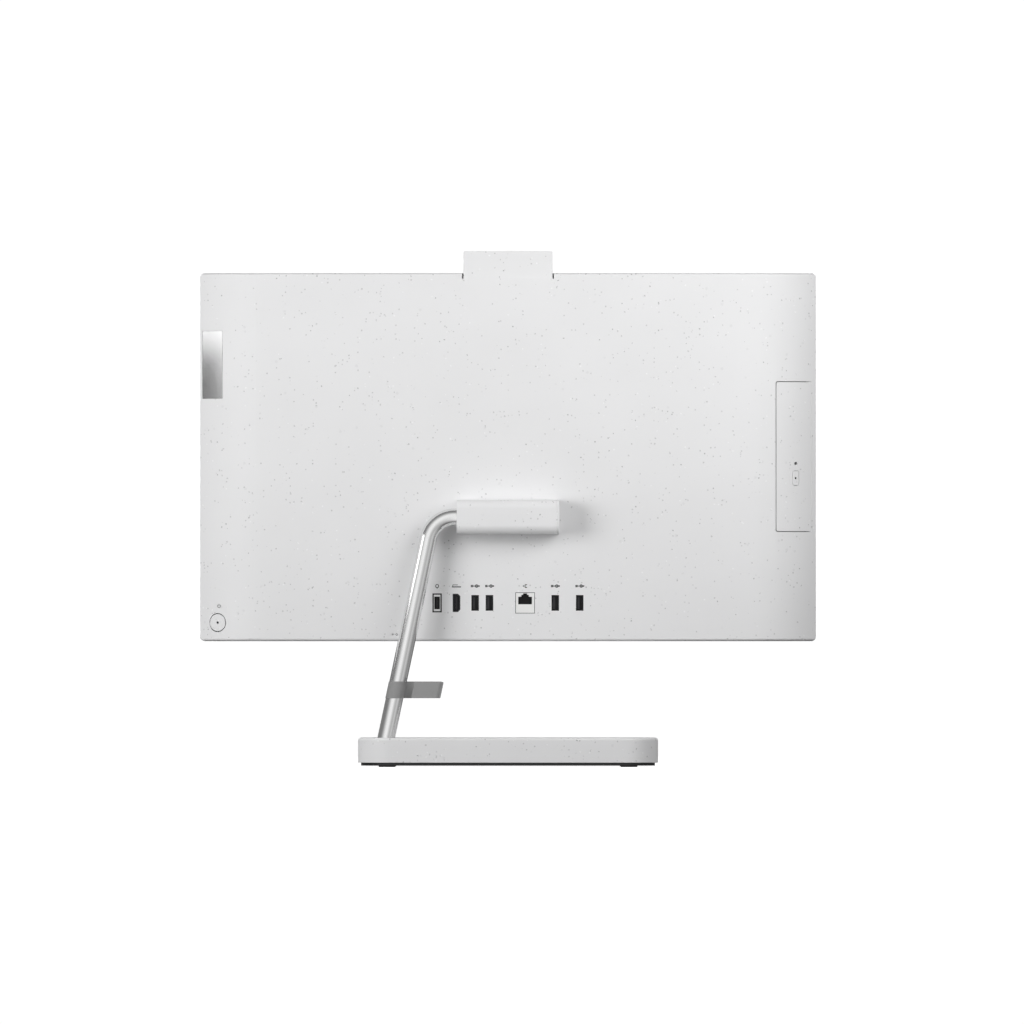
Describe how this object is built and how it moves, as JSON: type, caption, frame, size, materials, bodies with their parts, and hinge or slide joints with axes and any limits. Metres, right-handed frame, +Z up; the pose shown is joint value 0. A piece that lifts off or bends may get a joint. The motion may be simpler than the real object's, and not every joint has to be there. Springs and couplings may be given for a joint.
{
  "type": "all-in-one desktop computer",
  "caption": "All-in-one desktop computer with a wide screen, rear connectors, pop-up camera and side disc drawer, tilting on an offset bent-tube stand with a rounded base.",
  "frame": {"origin": "on the desk, under the middle of the base", "axes": "+Z up; the screen faces -Y and the connectors face +Y; +X is the side of the power button and of the tube"},
  "size_m": [0.542, 0.185, 0.4533],
  "materials": {
    "white_plastic": "fine speckled matte",
    "grey_plastic": "satin translucent grey",
    "black_plastic": "matte",
    "port_white": "matte",
    "gloss_black": "gloss",
    "rubber": "matte",
    "steel": "satin",
    "dark_steel": "satin",
    "tube_metal": "fine brushed",
    "bright_metal": "polished",
    "aluminium": "satin",
    "copper": "satin copper",
    "light_guide": "clear plastic sheet in a white tray",
    "circuit_board": "solder mask",
    "display_glass": "gloss dark",
    "lens_glass": "coated"
  },
  "bodies": {
    "stand": {"base_shell": "white_plastic", "base_bottom_plate": "black_plastic", "base_weight": "steel", "base_feet": "rubber", "base_screws": "dark_steel", "stand_tube": "tube_metal", "tube_foot_plate": "steel", "foot_plate_screws": "dark_steel", "cable_clip": "grey_plastic", "hinge_shaft": "steel", "friction_washers": "dark_steel", "hinge_nut": "steel"},
    "screen": {"rear_cover": "white_plastic", "mid_frame": "white_plastic", "front_bezel": "black_plastic", "chin_cover": "white_plastic", "lcd_glass": "display_glass", "lcd_backlight": "light_guide", "chassis_plate": "steel", "chassis_screws": "dark_steel", "hinge_bracket": "steel", "hinge_cover": "white_plastic", "hinge_end_cap": "white_plastic", "motherboard": "circuit_board", "board_screws": "steel", "power_jack": "port_white", "video_port": "dark_steel", "usb_port_1": "dark_steel", "usb_port_2": "dark_steel", "usb_port_3": "dark_steel", "usb_port_4": "dark_steel", "ethernet_port": "port_white", "cpu_heat_spreader": "copper", "heat_pipe": "copper", "fin_stack": "aluminium", "fan_housing": "black_plastic", "memory_module": "circuit_board", "solid_state_drive": "circuit_board", "wireless_card": "circuit_board", "hard_drive": "aluminium", "left_speaker": "black_plastic", "right_speaker": "black_plastic", "top_vent_grilles": "white_plastic", "bottom_vent_grille": "white_plastic", "badge_plate": "bright_metal", "power_button_board": "circuit_board", "optical_drive_case": "steel", "camera_guides": "black_plastic"},
    "fan": {"fan_rotor": "black_plastic"},
    "power_key": {"power_button": "white_plastic"},
    "drawer": {"disc_tray": "black_plastic", "tray_bezel": "white_plastic"},
    "eject_key": {"eject_button": "white_plastic"},
    "spindle": {"spindle_hub": "steel"},
    "sled": {"laser_sled": "dark_steel"},
    "camera": {"camera_shell": "white_plastic", "camera_window": "gloss_black", "camera_lens": "lens_glass", "camera_board": "circuit_board"},
    "shutter": {"shutter_slider": "black_plastic"}
  },
  "joints": [
    {"name": "screen_tilt", "type": "hinge", "parent": "stand", "child": "screen", "pos_m": [0, 0.039, 0.2194], "axis": [-1, 0, 0], "range_deg": [-5, 20]},
    {"name": "fan_spin", "type": "hinge", "parent": "screen", "child": "fan", "pos_m": [0.12, 0.004, 0.3634], "axis": [0, 1, 0], "continuous": true},
    {"name": "power_press", "type": "slide", "parent": "screen", "child": "power_key", "axis": [-0.4835, -0.8753, 0], "range_m": [0, 0.0008], "stiffness_N_per_m": 1000, "springref_m": -0.0006},
    {"name": "drawer_slide", "type": "slide", "parent": "screen", "child": "drawer", "axis": [-1, 0, 0], "range_m": [0, 0.13]},
    {"name": "eject_press", "type": "slide", "parent": "drawer", "child": "eject_key", "axis": [0.4544, -0.8908, 0], "range_m": [0, 0.0006], "stiffness_N_per_m": 800, "springref_m": -0.0005},
    {"name": "spindle_spin", "type": "hinge", "parent": "drawer", "child": "spindle", "pos_m": [-0.176, 0.01, 0.27265], "axis": [0, 1, 0], "continuous": true},
    {"name": "sled_slide", "type": "slide", "parent": "drawer", "child": "sled", "axis": [1, 0, 0], "range_m": [0, 0.021]},
    {"name": "camera_lift", "type": "slide", "parent": "screen", "child": "camera", "axis": [0, 0, 1], "range_m": [-0.0189, 0]},
    {"name": "shutter_slide", "type": "slide", "parent": "camera", "child": "shutter", "axis": [-1, 0, 0], "range_m": [0, 0.0095]}
  ]
}
